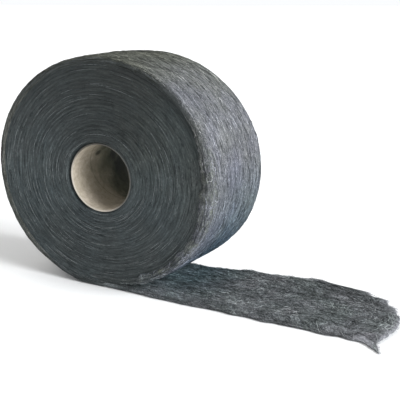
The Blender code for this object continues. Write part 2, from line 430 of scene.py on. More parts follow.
# ------------------------------------------------------------------ strands
def strands(name, path, normal, radius, shade, material):
    """Thin closed three-sided strands along paths (strand, point, xyz)."""
    n, m = path.shape[:2]
    path = path.copy()
    path[..., 2] = np.maximum(path[..., 2], 0.0004)
    t = unit(np.gradient(path, axis=1))
    b = unit(normal - (normal * t).sum(-1, keepdims=True) * t)
    c = np.cross(t, b)
    along = np.linspace(0, 1, m)
    r = radius[:, None] * (0.35 + 0.65 * np.sin(math.pi * along) ** 0.6)[None, :]
    ring = [(math.cos(a), math.sin(a)) for a in (math.pi / 2, math.pi * 7 / 6, math.pi * 11 / 6)]
    verts = np.stack([path + r[..., None] * (ca * c + sa * b) for ca, sa in ring], 2)
    idx = np.arange(n * m * 3).reshape(n, m, 3)
    sides = []
    for a in range(3):
        a2 = (a + 1) % 3
        sides.append(np.stack([idx[:, :-1, a], idx[:, 1:, a], idx[:, 1:, a2], idx[:, :-1, a2]], -1).reshape(-1, 4))
    caps = np.concatenate([idx[:, 0, :], idx[:, -1, ::-1]])
    uv = np.stack(np.broadcast_arrays(along[None, :, None], shade[:, None, None], np.zeros((n, m, 3))), -1)[..., :2]
    return wool(make_mesh(name, verts, np.concatenate(sides), caps, uv=uv), material)


def wander(rng, n, m, size):
    """Smooth random sideways drift along each strand."""
    t = np.linspace(0, 1, m)[None, :]
    out = rng.normal(0, size * 0.8, (n, 1)) * (t - 0.5)
    for k in (1, 2, 3):
        out = out + rng.normal(0, size * 0.42 / k, (n, 1)) * np.sin(math.pi * k * t + rng.uniform(0, PI2, (n, 1)))
    return out


def shades(rng, n):
    return np.clip(rng.beta(2.0, 2.6, n), 0.01, 0.99)


def lifted(rng, n, m, low, high, dip=0.00025):
    t = np.linspace(0, 1, m)[None, :]
    return rng.uniform(low, high, (n, 1)) * np.sin(math.pi * t) ** 0.8 - dip * (np.abs(2 * t - 1) ** 4)


def on_ribbon(s, l, side, lift):
    p, n = ribbon_normal(s, l, side)
    return p + n * lift[..., None], n


def roll_strands(name, count, seed, material, thin, thick, points=5):
    """Strands that run round the outside of the roll."""
    rng = np.random.default_rng(seed)
    messy = rng.random(count) < 0.42
    length = np.where(messy, rng.uniform(0.003, 0.009, count), rng.uniform(0.005, 0.021, count))
    start = rng.uniform(TAIL_LENGTH + 0.045, TAIL_LENGTH + W_RUN[-1] * 0.925, count)
    t = np.linspace(0, 1, points)[None, :]
    s = np.minimum(start[:, None] + length[:, None] * t, TAIL_LENGTH + W_RUN[-1] * 0.955)
    l0 = rng.uniform(-0.995, 0.995, count)
    l = np.clip(l0[:, None] + wander(rng, count, points, 0.028) * np.where(messy, 2.6, 1.0)[:, None], -0.996, 0.996)
    p, n = on_ribbon(s, l, 1.0, lifted(rng, count, points, 0.00003, 0.00055))
    patch = noise(start / 0.030, l0 * 0.05 / 0.006, 5.7, seed=49)
    tone = np.clip(shades(rng, count) * (0.98 + 0.35 * patch), 0.01, 0.99)
    return strands(name, p, n, rng.uniform(thin, thick, count), tone, material)


def face_strands(name, count, seed, side, material, points=5):
    """Strands that run along the edges of the turns on an end face, a few of them long and bright."""
    rng = np.random.default_rng(seed)
    f0 = (np.sqrt(rng.uniform(0.0370 ** 2, 0.1185 ** 2, count)) - 0.036) / 0.083
    turn0 = rng.uniform(0, PI2, count)
    bright = rng.random(count) < 0.085
    high = np.cos(turn0) < -0.35
    bright &= ~(high & (rng.random(count) < 0.7))
    messy = ~bright & (rng.random(count) < 0.45)
    radius = 0.036 + 0.083 * f0
    angle = np.where(bright, rng.uniform(0.018, 0.040, count), rng.uniform(0.005, 0.016, count)) / radius
    angle = np.where(messy, angle * 0.45, angle)
    t = np.linspace(0, 1, points)[None, :]
    turn = turn0[:, None] + angle[:, None] * t
    f = f0[:, None] - angle[:, None] * t / PI2 / LAYERS + wander(rng, count, points, 0.0060) * np.where(bright, 0.45, np.where(messy, 2.6, 1.1))[:, None]
    f = np.clip(f, 0.016, 0.99 * (1 - (turn % PI2) / PI2 / LAYERS))
    wrap = turn % PI2
    x, z = face_xz(f, wrap)
    depth = face_depth(f, wrap, 60 if side < 0 else 80)
    y = side * (FACE_Y - depth + lifted(rng, count, points, 0.00002, 0.00036, 0.0002) + np.where(bright, 0.00012, 0)[:, None])
    p = np.stack([x, y, z], -1)
    n = np.zeros_like(p)
    n[..., 1] = side
    shade = np.where(bright, rng.uniform(0.86, 1.0, count), 0.78 * shades(rng, count))
    size = np.where(bright, rng.uniform(0.00016, 0.00026, count), rng.uniform(0.00009, 0.00020, count))
    return strands(name, p, n, size, shade, material)


def tail_strands(name, count, seed, material, points=5):
    """Strands that lie along the top of the loose end."""
    rng = np.random.default_rng(seed)
    messy = rng.random(count) < 0.45
    length = np.where(messy, rng.uniform(0.003, 0.008, count), rng.uniform(0.005, 0.018, count))
    start = TAIL_LENGTH * rng.random(count) ** 1.05
    t = np.linspace(0, 1, points)[None, :]
    s = np.clip(start[:, None] + length[:, None] * (t - 0.3), 0.0004, TAIL_LENGTH - 0.001)
    loose = np.clip(1 - start / 0.16, 0, 1)[:, None]
    l0 = rng.uniform(-0.99, 0.99, count)
    tangle = np.where(messy, 1.5, 1.0)[:, None]
    l = np.clip(l0[:, None] + wander(rng, count, points, 0.060) * (1 + 1.3 * loose) * tangle, -0.996, 0.996)
    p, n = on_ribbon(s, l, -1.0, lifted(rng, count, points, 0.00005, 0.0008))
    patch = noise(start / 0.028, l0 * 0.05 / 0.0085, 3.7, seed=48)
    # painted light: paler strands at the torn tip and along the far edge
    edge = 0.30 * np.maximum(step(0.014, 0.004, start), step(0.80, 0.95, l0))
    tone = np.clip(shades(rng, count) * (0.92 + 0.55 * patch) + edge, 0.01, 0.99)
    return strands(name, p, n, rng.uniform(0.00009, 0.00022, count), tone, material)


def rim_strands(name, count, seed, material, low, high, points=5):
    """Strands that run along the rounded edges of the ribbon, between two distances from its loose tip."""
    rng = np.random.default_rng(seed)
    length = rng.uniform(0.008, 0.030, count)
    start = rng.uniform(low, high, count)
    t = np.linspace(0, 1, points)[None, :]
    s = np.clip(start[:, None] + length[:, None] * t, 0.0008, RUN_END - 0.004)
    bow = rng.uniform(-0.1, 1.45, (count, 1)) + wander(rng, count, points, 0.25)
    d = 0.0032 * (1 - np.cos(np.clip(bow, 0.0, 1.5)))
    l = (1 - d / 0.05) * np.where(rng.random(count) < 0.6, -1.0, 1.0)[:, None]
    side = np.where(rng.random(count) < 0.5, -1.0, 1.0)[:, None]
    p, n = on_ribbon(s, l, side, lifted(rng, count, points, 0.00003, 0.00045))
    return strands(name, p, n, rng.uniform(0.00009, 0.00018, count), 0.75 * shades(rng, count), material)


def wisp_strands(name, count, seed, material, points=6):
    """Pale strands that fan out over the thin near corner of the torn end."""
    rng = np.random.default_rng(seed)
    t = np.linspace(0, 1, points)[None, :]
    near = rng.random(count) ** 1.2
    s = np.maximum((0.030 * (1 - 0.55 * near)[:, None]) * (1 - t) + rng.uniform(0.0008, 0.010, (count, 1)) * t, 0.0006)
    l = -0.985 + 0.28 * near[:, None] + wander(rng, count, points, 0.07)
    l = np.clip(l, -0.992, -0.55)
    p, n = on_ribbon(s, l, -1.0, lifted(rng, count, points, 0.0001, 0.0012))
    return strands(name, p, n, rng.uniform(0.00010, 0.00020, count), shades(rng, count), material)


def curled_strands(name, count, seed, material, points=7):
    """Short curled strands on the puffed lips and over the loose end, thickest at its torn tip."""
    rng = np.random.default_rng(seed)
    kind = rng.random(count)
    lip = kind < 0.44
    s0 = np.where(lip, TAIL_LENGTH + np.interp(rng.uniform(1.30, 1.93, count) * math.pi, W_TURN, W_RUN), 0.003 + 0.16 * rng.random(count) ** 1.6)
    s0 = np.where(kind > 0.94, TAIL_LENGTH + np.interp(rng.uniform(0.40, 0.82, count) * math.pi, W_TURN, W_RUN), s0)
    s0 = np.where((kind > 0.66) & (kind <= 0.84), rng.uniform(0.05, TAIL_LENGTH - 0.02, count), s0)
    s0 = np.where((kind > 0.84) & (kind <= 0.94), TAIL_LENGTH + rng.uniform(0.06, W_RUN[-1] * 0.9, count), s0)
    l0 = np.where(lip, -1 + 0.15 * rng.random(count) ** 1.3, rng.uniform(-0.98, 0.98, count))
    l0 = np.where(kind > 0.94, 1 - 0.13 * rng.random(count), l0)
    heading = rng.normal(0, 0.75, count)
    bend = rng.normal(0, 1.7, count)
    length = rng.uniform(0.004, 0.012, count)
    t = np.linspace(0, 1, points)[None, :]
    a = heading[:, None] + bend[:, None] * t
    du, dv = np.cumsum(np.cos(a), 1) / points * length[:, None], np.cumsum(np.sin(a), 1) / points * length[:, None]
    s = np.clip(s0[:, None] + du, 0.0006, RUN_END - 0.004)
    l = np.clip(l0[:, None] + dv / 0.05, -0.998, 0.998)
    side = np.where(s0 < TAIL_LENGTH, -1.0, 1.0)
    side = np.where(lip & (rng.random(count) < 0.45), -1.0, side)
    high = np.where(side < 0, 0.0009, 0.0006)
    p, n = on_ribbon(s, l, side[:, None], lifted(rng, count, points, 0.0001, 1.0) * high[:, None])
    return strands(name, p, n, rng.uniform(0.00008, 0.00017, count), 0.15 + 0.8 * shades(rng, count), material)


def edge_fuzz(name, seed, material, rim, tail, end, points=7):
    """Loose strands that stand out of the ribbon's edges and its torn end."""
    rng = np.random.default_rng(seed)
    paths, normals, sizes = [], [], []
    t = np.linspace(0, 1, points)[None, :]

    def add(s, l, direction, length, count):
        p, n = ribbon(s, l, np.where(s[:, :1] < TAIL_LENGTH, -1.0, 1.0) * np.ones_like(s))
        away = direction[:, None, :] * (length[:, None] * t ** 1.5)[..., None]
        sway = n * (rng.normal(0, 0.35, (count, 1)) * length[:, None] * t ** 2)[..., None]
        paths.append(p + away + sway)
        normals.append(n)
        sizes.append(rng.uniform(0.00006, 0.00012, count))

    # rims of the roll
    count = rim
    side = np.where(rng.random(count) < 0.5, -1.0, 1.0)
    s0 = rng.uniform(TAIL_LENGTH + 0.05, TAIL_LENGTH + W_RUN[-1] * 0.93, count)
    s = s0[:, None] + rng.uniform(0.003, 0.012, count)[:, None] * t
    l = side[:, None] * (0.955 + 0.042 * t)
    turn = np.interp(s0 - TAIL_LENGTH, W_RUN, W_TURN)
    big = 0.35 + np.where(side < 0, lip_near(turn), lip_far(turn))
    direction = np.stack([np.zeros(count), side, np.zeros(count)], 1)
    add(s, l, direction, rng.uniform(0.0003, 0.0018, count) * big, count)

    # both edges of the loose end
    count = tail
    side = np.where(rng.random(count) < 0.5, -1.0, 1.0)
    s0 = rng.uniform(0.01, TAIL_LENGTH - 0.03, count)
    s = s0[:, None] - rng.uniform(0.002, 0.009, count)[:, None] * t
    l = side[:, None] * (0.94 + 0.058 * t)
    direction = np.stack([rng.normal(0.3, 0.5, count), side, rng.normal(0, 0.15, count)], 1)
    add(np.maximum(s, 0.0005), l, unit(direction), rng.uniform(0.0005, 0.0026, count), count)

    # the torn end
    count = end
    l0 = rng.uniform(-0.99, 0.96, count)
    s = rng.uniform(0.0015, 0.012, count)[:, None] * (1 - t) + 0.0008
    l = np.clip(l0[:, None] + rng.normal(0, 0.03, (count, 1)) * t, -0.995, 0.99)
    direction = unit(np.stack([np.ones(count), rng.normal(0.0, 0.5, count) + 0.9 * np.maximum(l0, 0), rng.normal(0.05, 0.2, count)], 1))
    add(s, l, direction, rng.uniform(0.0008, 0.0045, count), count)

    path, normal = np.concatenate(paths), np.concatenate(normals)
    size = np.concatenate(sizes)
    return strands(name, path, normal, size, 0.25 + 0.7 * shades(rng, len(size)), material)


# ------------------------------------------------------------------ the cardboard tube
def build_tube(material):
    around, deep = 144, 48
    turn = np.arange(around) * PI2 / around
    y = np.concatenate([[-1, -0.992, -0.975], np.linspace(-0.95, 0.95, deep), [0.975, 0.992, 1]]) * TUBE_HALF
    a, yy = np.meshgrid(turn, y, indexing="ij")
    c, s = np.cos(a), np.sin(a)
    seam = ((yy / 0.072 + a / PI2) % 1.0)
    butt = np.exp(-((np.minimum(seam, 1 - seam) * 0.072 / 0.0011) ** 2))
    soft = 0.00012 * noise(c * 3, s * 3, yy / 0.012, seed=91) + 0.00005 * noise(c * 20, s * 20, yy / 0.003, seed=92)
    rim = np.clip((np.abs(yy) - TUBE_HALF * 0.975) / (TUBE_HALF * 0.025), 0, 1) ** 2
    ragged = 0.00025 * noise(c * 6, s * 6, 0.5, seed=93)
    inner = 0.00022 * butt - soft + 0.00030 * rim
    outer = -0.00030 * rim
    yy = yy + np.sign(yy) * np.abs(yy / TUBE_HALF) ** 40 * ragged

    def shell(rx, rz, grow):
        return np.stack([-(rx + grow) * s, yy, TUBE_Z - (rz + grow) * c], -1)

    inside = shell(TUBE_IN_X, TUBE_IN_Z, inner)
    outside = shell(TUBE_IN_X + TUBE_WALL, TUBE_IN_Z + TUBE_WALL, outer)
    near = (inside[:, :1] + outside[:, :1]) / 2
    far = (inside[:, -1:] + outside[:, -1:]) / 2
    near[..., 1] -= 0.0002
    far[..., 1] += 0.0002
    grid = np.concatenate([inside, far, outside[:, ::-1], near], 1)
    n, m = grid.shape[:2]
    i, j = np.meshgrid(np.arange(n), np.arange(m), indexing="ij")
    i2, j2 = (i + 1) % n, (j + 1) % m
    faces = np.stack([i * m + j, i * m + j2, i2 * m + j2, i2 * m + j], -1)
    ob = make_mesh("cardboard_core", grid, faces)
    ob.data.materials.append(material)
    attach(ob, "root")
    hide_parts("cardboard_tube")
    return ob


# ------------------------------------------------------------------ materials
class Nodes:
    """Short names for building a material's nodes."""

    def __init__(self, name):
        self.m = bpy.data.materials.new(name)
        self.m.use_nodes = True
        self.t = self.m.node_tree
        self.t.nodes.clear()
        self.out = self.t.nodes.new("ShaderNodeOutputMaterial")
        self.bsdf = self.t.nodes.new("ShaderNodeBsdfPrincipled")
        self.t.links.new(self.bsdf.outputs[0], self.out.inputs[0])

    def link(self, a, b):
        self.t.links.new(a, b)

    def put(self, socket, value):
        if hasattr(value, "is_output"):
            self.link(value, socket)
        else:
            socket.default_value = value

    def object_coords(self):
        return self.t.nodes.new("ShaderNodeTexCoord").outputs["Object"]

    def uv(self):
        n = self.t.nodes.new("ShaderNodeUVMap")
        n.uv_map = "fibre"
        return n.outputs[0]

    def scaled(self, vector, scale, shift=(0, 0, 0)):
        n = self.t.nodes.new("ShaderNodeMapping")
        n.inputs["Scale"].default_value = scale
        n.inputs["Location"].default_value = shift
        self.link(vector, n.inputs["Vector"])
        return n.outputs[0]

    def split(self, vector):
        n = self.t.nodes.new("ShaderNodeSeparateXYZ")
        self.link(vector, n.inputs[0])
        return n.outputs

    def join(self, x, y, z):
        n = self.t.nodes.new("ShaderNodeCombineXYZ")
        for k, v in enumerate((x, y, z)):
            self.put(n.inputs[k], v)
        return n.outputs[0]

    def noise(self, vector, scale=1.0, detail=2.0, rough=0.55):
        n = self.t.nodes.new("ShaderNodeTexNoise")
        n.inputs["Scale"].default_value = scale
        n.inputs["Detail"].default_value = detail
        n.inputs["Roughness"].default_value = rough
        self.link(vector, n.inputs["Vector"])
        return n.outputs[0]

    def math(self, kind, a, b=0.0, c=0.0, clamp=False):
        n = self.t.nodes.new("ShaderNodeMath")
        n.operation = kind
        n.use_clamp = clamp
        for k, v in enumerate((a, b, c)):
            self.put(n.inputs[k], v)
        return n.outputs[0]

    def ramp(self, value, stops):
        n = self.t.nodes.new("ShaderNodeValToRGB")
        e = n.color_ramp.elements
        while len(e) < len(stops):
            e.new(0.5)
        for k, (p, col) in enumerate(stops):
            e[k].position = p
            e[k].color = (*col, 1)
        self.link(value, n.inputs[0])
        return n.outputs[0]

    def span(self, value, a, b, c, d):
        n = self.t.nodes.new("ShaderNodeMapRange")
        for k, v in zip(("From Min", "From Max", "To Min", "To Max"), (a, b, c, d)):
            n.inputs[k].default_value = v
        self.link(value, n.inputs["Value"])
        return n.outputs[0]

    def mix(self, factor, a, b, kind="MIX"):
        n = self.t.nodes.new("ShaderNodeMix")
        n.data_type = "RGBA"
        n.blend_type = kind
        self.put(n.inputs[0], factor)
        for socket, v in ((n.inputs[6], a), (n.inputs[7], b)):
            if hasattr(v, "is_output"):
                self.link(v, socket)
            else:
                socket.default_value = (*v, 1)
        return n.outputs[2]

    def bump(self, height, distance, strength=1.0):
        n = self.t.nodes.new("ShaderNodeBump")
        n.inputs["Distance"].default_value = distance
        n.inputs["Strength"].default_value = strength
        self.link(height, n.inputs["Height"])
        self.link(n.outputs[0], self.bsdf.inputs["Normal"])

    def finish(self, colour, rough, metallic, specular=0.5):
        self.link(colour, self.bsdf.inputs["Base Color"])
        self.put(self.bsdf.inputs["Roughness"], rough)
        self.bsdf.inputs["Metallic"].default_value = metallic
        self.bsdf.inputs["Specular IOR Level"].default_value = specular
        return self.m


def place_tint_and_painted_light(n, colour):
    """Painted light and shade with tints: warmer and darker high on the left, paler and cooler on the lit right,
    painted shade over the top of the roll and a blue painted shade low down beside the loose end, with loose patches of
    tint.
    """
    obj = n.object_coords()
    x, y, z = n.split(obj)
    patch = n.noise(n.scaled(obj, (11, 11, 11)), 1.0, 3.0, 0.6)
    # painted light: paler and cooler toward the lit right side and low down, darker and warmer to the left and high up
    side = n.span(n.math("MULTIPLY_ADD", z, -0.35, n.math("MAXIMUM", x, -0.03)), -0.100, 0.075, 0.0, 1.0)
    side = n.math("ADD", side, n.span(patch, 0.3, 0.7, -0.28, 0.28), clamp=True)
    tint = n.ramp(side, [(0.0, (0.83, 0.80, 0.68)), (0.36, (0.93, 0.91, 0.80)), (0.66, (0.98, 0.96, 0.905)), (1.0, (1.06, 1.03, 1.16))])
    flat = n.span(z, 0.012, 0.030, 1.0, 0.0)
    mottle = n.noise(n.scaled(obj, (34, 34, 34), (4, 2, 1)), 1.0, 2.0, 0.6)
    mottle = n.ramp(mottle, [(0.34, (1.03, 1.02, 1.03)), (0.50, (1.00, 1.03, 1.02)), (0.66, (0.97, 1.035, 0.995))])
    tint = n.mix(flat, tint, mottle)
    colour = n.mix(1.0, colour, tint, "MULTIPLY")
    # painted shade: duller over the top of the roll
    top = n.math("MULTIPLY", n.span(z, 0.178, 0.216, 0.0, 1.0), n.span(x, 0.03, 0.09, 1.0, 0.0))
    colour = n.mix(top, colour, n.mix(1.0, colour, (0.66, 0.67, 0.61), "MULTIPLY"))
    # painted shade with a blue cast low on the roll's right, in the wedge where it meets the loose end, stronger toward
    # the far side
    low = n.math("MULTIPLY", n.span(z, 0.030, 0.134, 1.0, 0.0), n.span(n.math("MULTIPLY_ADD", z, -0.8, x), 0.070, 0.118, 1.0, 0.0))
    low = n.math("MULTIPLY", low, n.span(x, 0.01, 0.04, 0.0, 1.0))
    low = n.math("MULTIPLY", low, n.span(y, -0.050, -0.005, 0.22, 1.0))
    low = n.math("MULTIPLY", low, n.span(z, 0.009, 0.018, 0.72, 1.0))
    return n.mix(low, colour, n.mix(1.0, colour, (0.42, 0.66, 0.74), "MULTIPLY"))


def material_ribbon():
    n = Nodes("steel_wool_ribbon_side")
    uv = n.uv()
    obj = n.object_coords()
    x, y, z = n.split(obj)
    loose = n.math("MULTIPLY", n.span(z, 0.0095, 0.0125, 1.0, 0.0), n.span(x, 0.02, 0.05, 0.0, 1.0))
    # the fibres wave a little on the roll and more in the loose end
    bend = n.math("SUBTRACT", n.noise(n.scaled(uv, (75, 90, 1), (1, 8, 3)), 1.0, 2.0, 0.6), 0.5)
    bend = n.math("MULTIPLY", bend, n.math("MULTIPLY_ADD", loose, 0.0060, 0.0022))
    us, ul, _ = n.split(uv)
    uv = n.join(us, n.math("ADD", ul, bend), 0.0)
    long_streak = n.noise(n.scaled(uv, (26, 430, 1)), 1.0, 2.0, 0.6)
    streak = n.noise(n.scaled(uv, (130, 980, 1), (3, 7, 2)), 1.0, 3.0, 0.65)
    grain = n.noise(n.scaled(uv, (700, 1150, 1), (9, 4, 2)), 1.0, 3.0, 0.7)
    fine = n.noise(n.scaled(uv, (260, 3800, 1), (5, 1, 4)), 1.0, 2.0, 0.6)
    dots = n.noise(n.scaled(obj, (760, 760, 760)), 1.0, 2.0, 0.65)
    total = n.math("ADD", n.math("MULTIPLY", long_streak, 0.17), n.math("MULTIPLY", streak, 0.20))
    total = n.math("ADD", total, n.math("MULTIPLY", grain, 0.32))
    total = n.math("ADD", total, n.math("MULTIPLY", fine, 0.11))
    total = n.math("ADD", total, n.math("MULTIPLY", dots, 0.20))
    total = n.math("MULTIPLY_ADD", total, 1.70, -0.35)
    # darker gaps and paler tufts, stronger in the loose end
    tuft = n.math("SUBTRACT", n.noise(n.scaled(uv, (34, 110, 1), (4, 6, 1)), 1.0, 2.0, 0.55), 0.5)
    total = n.math("MULTIPLY_ADD", n.math("MULTIPLY", tuft, loose), 0.34, total)
    speck = n.math("SUBTRACT", dots, 0.5)
    total = n.math("MULTIPLY_ADD", n.math("MULTIPLY", speck, loose), 0.30, total)
    line = n.noise(n.scaled(uv, (20, 460, 1), (6, 2, 7)), 1.0, 2.0, 0.5)
    line = n.math("MULTIPLY", n.span(line, 0.30, 0.42, 0.11, 0.0), n.math("SUBTRACT", 1.0, loose))
    total = n.math("ADD", n.math("SUBTRACT", total, line), 0.008)
    gap = n.noise(n.scaled(uv, (42, 260, 1), (2, 3, 5)), 1.0, 2.0, 0.55)
    gap = n.math("MULTIPLY", n.span(gap, 0.30, 0.46, 1.0, 0.0), n.math("MULTIPLY_ADD", loose, 0.120, 0.018))
    total = n.math("SUBTRACT", total, gap)
    colour = n.ramp(total, [(0.30, (0.022, 0.025, 0.027)), (0.43, (0.080, 0.086, 0.091)),
                            (0.56, (0.172, 0.181, 0.190)), (0.72, (0.420, 0.436, 0.452))])
    colour = place_tint_and_painted_light(n, colour)
    tone = n.t.nodes.new("ShaderNodeUVMap")
    tone.uv_map = "tone"
    rim, pale, _ = n.split(tone.outputs[0])
    # the cut edge takes the end faces' darker colour: partly end grain, partly painted shade
    edge = n.ramp(total, [(0.30, (0.030, 0.036, 0.038)), (0.46, (0.056, 0.064, 0.066)),
                          (0.58, (0.086, 0.094, 0.094)), (0.74, (0.150, 0.160, 0.160))])
    colour = n.mix(rim, colour, edge)
    # the puffed lips take a greenish grey, and the torn end a pale lilac that is partly its own tone and partly painted
    # light
    grey = n.ramp(total, [(0.32, (0.034, 0.040, 0.033)), (0.50, (0.128, 0.143, 0.118)), (0.68, (0.370, 0.392, 0.345))])
    lilac = n.ramp(total, [(0.30, (0.120, 0.122, 0.134)), (0.50, (0.230, 0.234, 0.252)), (0.72, (0.420, 0.424, 0.448))])
    grey = n.mix(loose, grey, lilac)
    colour = n.mix(n.math("MULTIPLY", pale, 0.72, clamp=True), colour, grey)
    n.bump(total, 0.0015, 1.0)
    return n.finish(colour, n.span(streak, 0.3, 0.7, 0.80, 0.66), 0.15, 0.22)


def material_face():
    n = Nodes("steel_wool_turn_edges")
    obj = n.object_coords()
    x, y, z = n.split(obj)
    dx = n.math("DIVIDE", x, 0.128)
    dz = n.math("DIVIDE", n.math("SUBTRACT", z, 0.1115), 0.1145)
    r = n.math("SQRT", n.math("ADD", n.math("MULTIPLY", dx, dx), n.math("MULTIPLY", dz, dz)))
    cx, cz = n.math("DIVIDE", dx, r), n.math("DIVIDE", dz, r)

    def rings(along, across, detail, rough, shift):
        v = n.join(n.math("MULTIPLY_ADD", cx, along, shift), n.math("MULTIPLY_ADD", cz, along, 3.1), n.math("MULTIPLY", r, across))
        return n.noise(v, 1.0, detail, rough)

    arcs = rings(2.2, 88.0, 2.0, 0.55, 11.0)
    streak = rings(8.5, 135.0, 3.0, 0.62, 23.0)
    fine = rings(30.0, 420.0, 2.0, 0.6, 37.0)
    dots = n.noise(n.scaled(obj, (640, 640, 640)), 1.0, 2.0, 0.65)
    total = n.math("ADD", n.math("MULTIPLY", arcs, 0.28), n.math("MULTIPLY", streak, 0.28))
    total = n.math("ADD", total, n.math("MULTIPLY", fine, 0.20))
    total = n.math("ADD", total, n.math("MULTIPLY", dots, 0.24))
    total = n.math("MULTIPLY_ADD", total, 1.78, -0.398)
    # the end faces take a far darker copy of the wool's colour than the roll's side: partly the darker end grain of the
    # turns, partly painted shade
    colour = n.ramp(total, [(0.30, (0.024, 0.030, 0.032)), (0.45, (0.042, 0.052, 0.055)),
                            (0.56, (0.063, 0.076, 0.079)), (0.70, (0.128, 0.146, 0.150))])
    # a little paler to the left and right of the tube than above it
    high = n.math("MULTIPLY", n.math("MAXIMUM", cz, 0.0), 0.56)
    low = n.math("MULTIPLY", n.math("MAXIMUM", n.math("MULTIPLY", cz, -1.0), 0.0), 0.32)
    lift = n.math("SUBTRACT", 0.98, n.math("ADD", high, low))
    colour = n.mix(1.0, colour, n.join(lift, lift, lift), "MULTIPLY")
    warm = n.span(n.math("MULTIPLY_ADD", cz, 0.8, n.math("MULTIPLY", cx, 0.6)), 0.1, 0.9, 0.0, 1.0)
    colour = n.mix(warm, colour, n.mix(1.0, colour, (1.03, 1.0, 0.93), "MULTIPLY"))
    patch = n.noise(n.scaled(obj, (16, 16, 16)), 1.0, 3.0, 0.6)
    colour = n.mix(1.0, colour, n.ramp(patch, [(0.3, (0.90, 1.0, 1.04)), (0.55, (0.97, 1.0, 0.98)), (0.75, (1.04, 1.0, 0.98))]), "MULTIPLY")
    # painted shadow: darker where the outer turn's puffed edge hangs over it
    under = n.math("MULTIPLY", n.span(r, 0.870, 0.930, 0.0, 0.85), n.span(cx, 0.05, 0.55, 0.0, 1.0))
    colour = n.mix(under, colour, n.mix(1.0, colour, (0.36, 0.40, 0.42), "MULTIPLY"))
    n.bump(total, 0.0008, 0.7)
    return n.finish(colour, 0.62, 0.20, 0.4)


def material_strand(name, stops, rough, metallic, tinted=True):
    n = Nodes(name)
    u, v, _ = n.split(n.uv())
    obj = n.object_coords()
    glint = n.noise(n.scaled(obj, (420, 420, 420)), 1.0, 1.0, 0.5)
    value = n.math("ADD", v, n.span(glint, 0.3, 0.7, -0.16, 0.16), clamp=True)
    colour = n.ramp(value, stops)
    if tinted:
        colour = place_tint_and_painted_light(n, colour)
    return n.finish(colour, rough, metallic, 0.3)


def material_board():
    n = Nodes("grey_board_core")
    obj = n.object_coords()
    x, y, z = n.split(obj)
    fibres = n.noise(n.scaled(obj, (260, 260, 260)), 1.0, 4.0, 0.65)
    blotch = n.noise(n.scaled(obj, (38, 38, 38)), 1.0, 3.0, 0.55)
    flecks = n.noise(n.scaled(obj, (900, 500, 900)), 1.0, 2.0, 0.6)
    colour = n.ramp(fibres, [(0.25, (0.235, 0.205, 0.165)), (0.5, (0.330, 0.295, 0.245)), (0.75, (0.410, 0.372, 0.318))])
    colour = n.mix(n.span(blotch, 0.35, 0.7, 0.0, 0.55), colour, (0.235, 0.215, 0.165))
    colour = n.mix(n.span(flecks, 0.62, 0.75, 0.0, 0.6), colour, (0.12, 0.10, 0.075))
    # darker where the spiral plies meet
    dx, dz = n.math("DIVIDE", x, 0.0338), n.math("DIVIDE", n.math("SUBTRACT", z, 0.1105), 0.0318)
    angle = n.math("ARCTAN2", n.math("MULTIPLY", dx, -1.0), n.math("MULTIPLY", dz, -1.0))
    ply = n.math("FRACT", n.math("ADD", n.math("DIVIDE", y, 0.072), n.math("DIVIDE", angle, PI2)))
    ply = n.math("ABSOLUTE", n.math("SUBTRACT", ply, 0.5))
    colour = n.mix(n.span(ply, 0.485, 0.5, 0.0, 0.5), colour, (0.13, 0.11, 0.085))
    # painted light and shade in the bore: paler at its near mouth and low down, with painted shade deepening towards
    # its middle and its far end
    bore_shade_noise = n.noise(n.scaled(obj, (24, 30, 24), (3, 1, 2)), 1.0, 3.0, 0.6)
    deep = n.math("ADD", n.span(y, -0.046, 0.016, 0.0, 1.0), n.span(bore_shade_noise, 0.3, 0.7, -0.22, 0.22), clamp=True)
    deep = n.math("ADD", deep, n.span(z, 0.085, 0.110, -0.16, 0.0), clamp=True)
    deep = n.ramp(deep, [(0.0, (1.44, 1.41, 1.38)), (0.38, (1.24, 1.23, 1.18)), (0.75, (0.29, 0.33, 0.27)), (0.96, (0.040, 0.052, 0.044))])
    colour = n.mix(1.0, colour, deep, "MULTIPLY")
    spot = n.math("ADD", n.math("POWER", n.math("DIVIDE", n.math("SUBTRACT", y, -0.0130), 0.0050), 2.0),
                  n.math("POWER", n.math("DIVIDE", n.math("SUBTRACT", z, 0.1265), 0.0032), 2.0))
    spot = n.math("MULTIPLY", n.span(spot, 0.2, 1.1, 0.75, 0.0), n.span(x, -0.005, 0.0, 1.0, 0.0))
    colour = n.mix(spot, colour, (0.030, 0.028, 0.022))
    # cut edge of the paper, with painted light low on the left and painted shade to the right and at the top
    rim = n.span(n.math("ABSOLUTE", y), 0.0480, 0.0487, 0.0, 0.94)
    where = n.math("ADD", n.math("MULTIPLY", dx, -0.7), n.math("MULTIPLY", dz, -0.7))
    edge = n.ramp(n.span(where, -1.0, 1.0, 0.0, 1.0), [(0.0, (0.052, 0.052, 0.048)), (0.5, (0.095, 0.088, 0.075)), (0.85, (0.480, 0.440, 0.380))])
    colour = n.mix(rim, colour, edge)
    # painted shade on the outside of the tube where it shows in the gap round it, darkest on the left
    around = n.math("SQRT", n.math("ADD", n.math("MULTIPLY", dx, dx), n.math("MULTIPLY", dz, dz)))
    outside = n.ramp(n.span(dx, -1.0, 1.0, 0.0, 1.0), [(0.0, (0.050, 0.042, 0.033)), (0.5, (0.055, 0.052, 0.046)), (0.8, (0.080, 0.088, 0.088))])
    colour = n.mix(n.span(around, 1.036, 1.048, 0.0, 1.0), colour, outside)
    n.bump(n.math("ADD", fibres, n.math("MULTIPLY", flecks, 0.4)), 0.0004, 0.7)
    return n.finish(colour, n.span(fibres, 0.3, 0.7, 0.92, 0.78), 0.0, 0.25)


